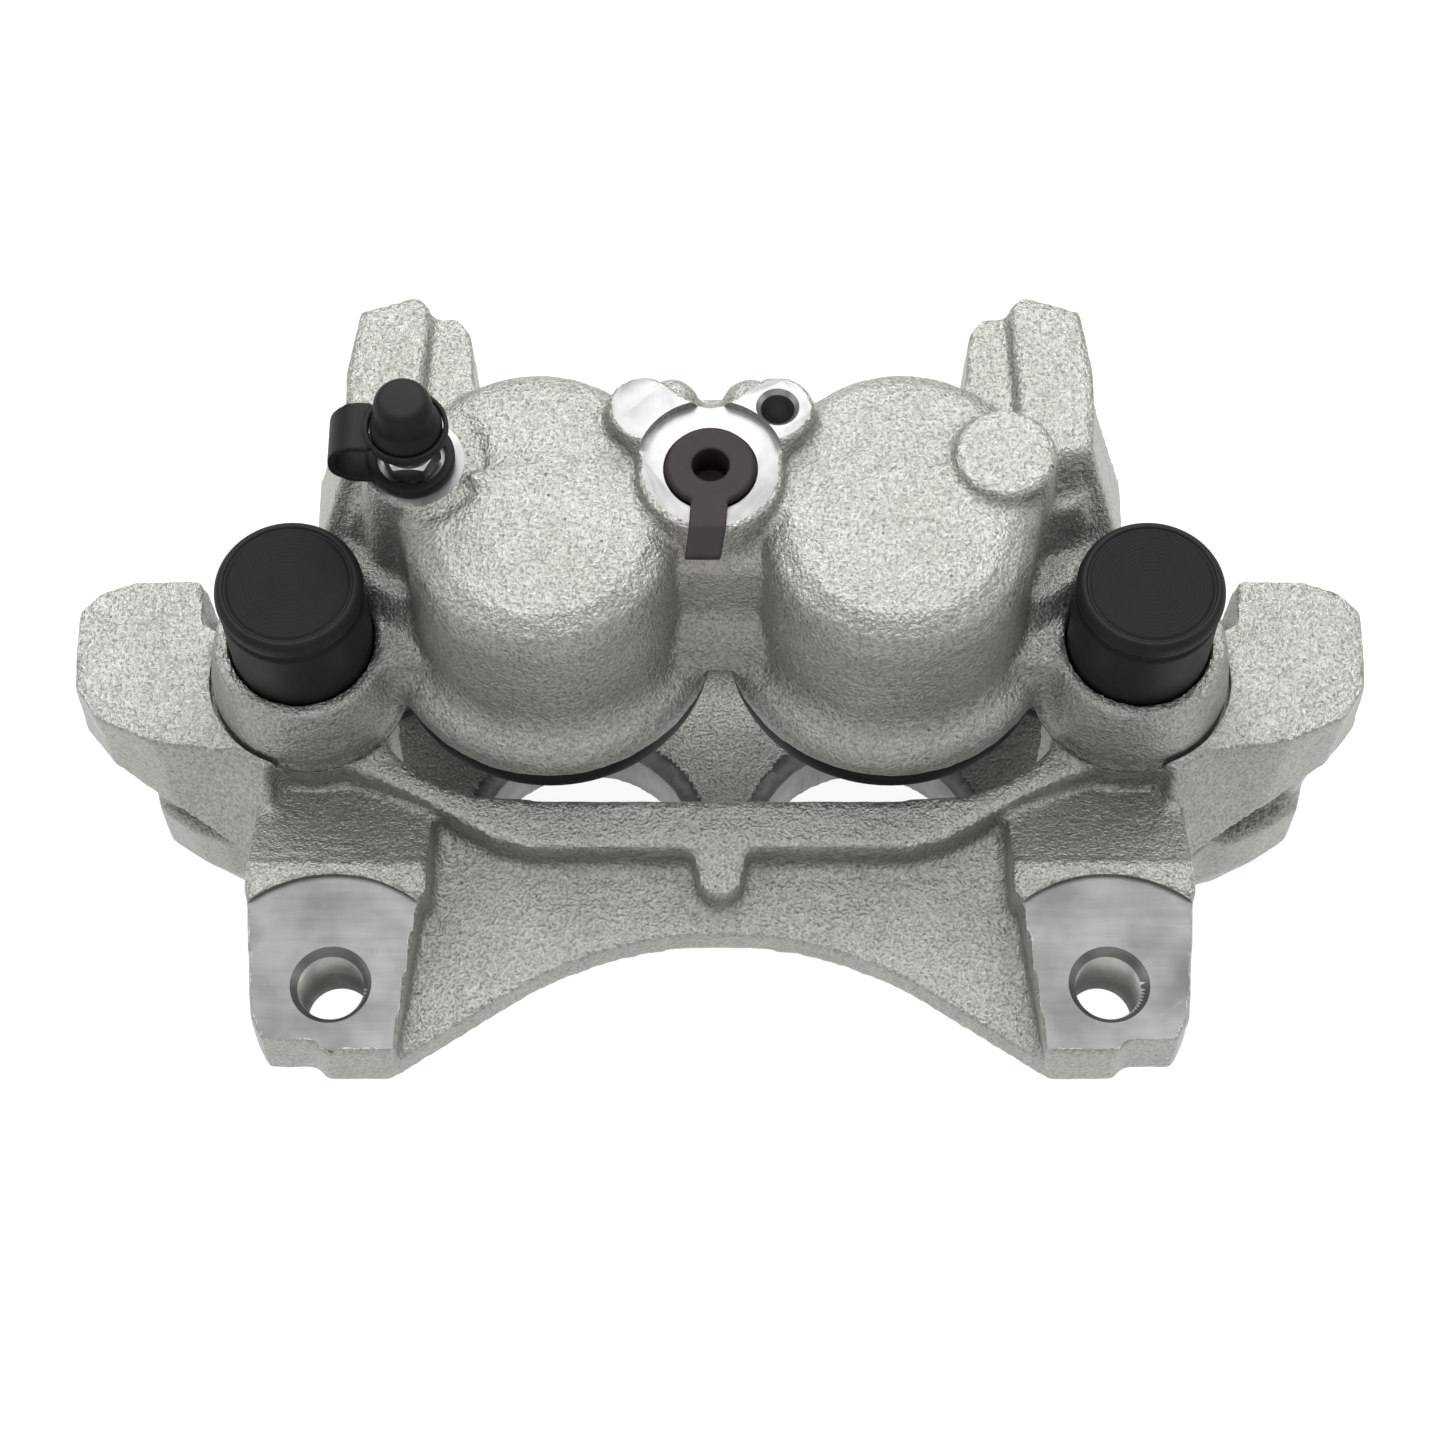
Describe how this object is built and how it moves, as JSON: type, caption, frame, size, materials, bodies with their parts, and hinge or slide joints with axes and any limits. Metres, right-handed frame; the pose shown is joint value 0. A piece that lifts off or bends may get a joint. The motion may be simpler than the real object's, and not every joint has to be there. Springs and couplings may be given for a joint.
{
  "type": "disc brake caliper with bracket",
  "caption": "Floating disc-brake caliper with hollow pistons side by side, sliding on guide pins bolted to its cast carrier bracket; pads and rotor not included.",
  "frame": {"origin": "midway between the two threaded mounting lugs, on their machined faces", "axes": "+Z points inboard, out of the machined lug faces and towards the hydraulic port; +Y points away from the wheel's axle; X runs from the left lug to the right lug"},
  "size_m": [0.251, 0.1358, 0.1544],
  "materials": {
    "casting": "zinc-flake coated rough casting",
    "piston_steel": "ground and plated",
    "plated_steel": "zinc plated",
    "rubber": "satin",
    "plastic": "moulded"
  },
  "bodies": {
    "bracket": {"bracket": "casting", "guide_bolt_left": "plated_steel", "guide_bolt_right": "plated_steel", "guide_sleeve_left": "plated_steel", "guide_sleeve_right": "plated_steel"},
    "housing": {"housing": "casting", "bushing_left": "rubber", "bushing_right": "rubber", "piston_seal_left": "rubber", "piston_seal_right": "rubber", "boot_ring_left": "plated_steel", "boot_ring_right": "plated_steel", "dust_boot_left": "rubber", "dust_boot_right": "rubber", "bleeder_cap_strap": "rubber"},
    "piston_left": {"piston_left": "piston_steel"},
    "piston_right": {"piston_right": "piston_steel"},
    "bleeder_screw": {"bleeder_screw": "plated_steel"},
    "bleeder_cap": {"bleeder_cap": "rubber"},
    "port_plug": {"port_plug": "plastic"},
    "pin_cap_left": {"pin_cap_left": "rubber"},
    "pin_cap_right": {"pin_cap_right": "rubber"}
  },
  "joints": [
    {"name": "housing_slide", "type": "slide", "parent": "bracket", "child": "housing", "axis": [0, 0, 1], "range_m": [0, 0.015]},
    {"name": "piston_left_slide", "type": "slide", "parent": "housing", "child": "piston_left", "axis": [0, 0, -1], "range_m": [0, 0.022], "deforming": ["dust_boot_left"]},
    {"name": "piston_right_slide", "type": "slide", "parent": "housing", "child": "piston_right", "axis": [0, 0, -1], "range_m": [0, 0.022], "deforming": ["dust_boot_right"]},
    {"name": "bleeder_turn", "type": "hinge", "parent": "housing", "child": "bleeder_screw", "pos_m": [-0.0562, 0.084, 0.046], "axis": [0, 0, 1], "range_deg": [0, 270]},
    {"name": "bleeder_cap_pull", "type": "slide", "parent": "housing", "child": "bleeder_cap", "axis": [0, 0, 1], "range_m": [0, 0.02], "deforming": ["bleeder_cap_strap"]},
    {"name": "port_plug_pull", "type": "slide", "parent": "housing", "child": "port_plug", "axis": [0, 0, 1], "range_m": [0, 0.015]},
    {"name": "pin_cap_left_pull", "type": "slide", "parent": "housing", "child": "pin_cap_left", "axis": [0, 0, 1], "range_m": [0, 0.012]},
    {"name": "pin_cap_right_pull", "type": "slide", "parent": "housing", "child": "pin_cap_right", "axis": [0, 0, 1], "range_m": [0, 0.012]}
  ]
}
